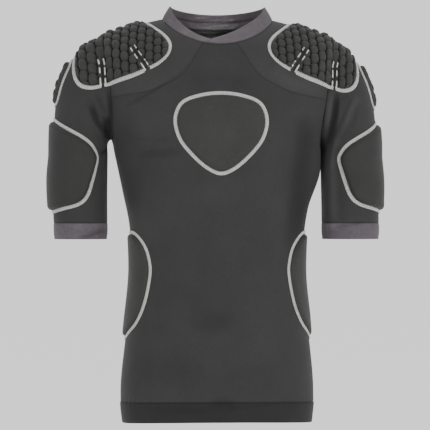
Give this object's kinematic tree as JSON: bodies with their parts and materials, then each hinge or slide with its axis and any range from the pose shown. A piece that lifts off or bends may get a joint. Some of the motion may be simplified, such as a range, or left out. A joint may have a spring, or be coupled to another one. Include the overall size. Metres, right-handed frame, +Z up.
{
  "type": "padded sports shirt with shoulder pads",
  "caption": "Close-fitting short-sleeved sports top, hollow as if worn, with raised-cell foam pads on the shoulders and smooth pads on the arms, ribs and chest.",
  "frame": {"origin": "midway between the shoulders, at the height of the shoulder tips, where the wearer's shoulders hold the top up", "axes": "+Z up from the hem to the neck, the front towards -Y, the wearer's left sleeve at +X"},
  "size_m": [0.594, 0.2475, 0.7297],
  "materials": {
    "black_knit": "fine black stretch knit, slight sheen",
    "grey_rib": "warm grey knit band, matt",
    "padded_knit": "black knit over foam",
    "silver_thread": "silver-grey sewing thread"
  },
  "bodies": {
    "root": {"front": "black_knit", "back": "black_knit", "yoke_left": "black_knit", "yoke_right": "black_knit", "sleeve_left": "black_knit", "sleeve_right": "black_knit", "cuff_left": "grey_rib", "cuff_right": "grey_rib", "collar": "grey_rib", "chest_pad": "padded_knit", "rib_pad_left": "padded_knit", "rib_pad_right": "padded_knit", "arm_pad_left": "padded_knit", "arm_pad_right": "padded_knit", "outer_pad_left": "padded_knit", "outer_pad_right": "padded_knit", "shoulder_pad_left": "padded_knit", "shoulder_pad_right": "padded_knit"}
  },
  "joints": []
}
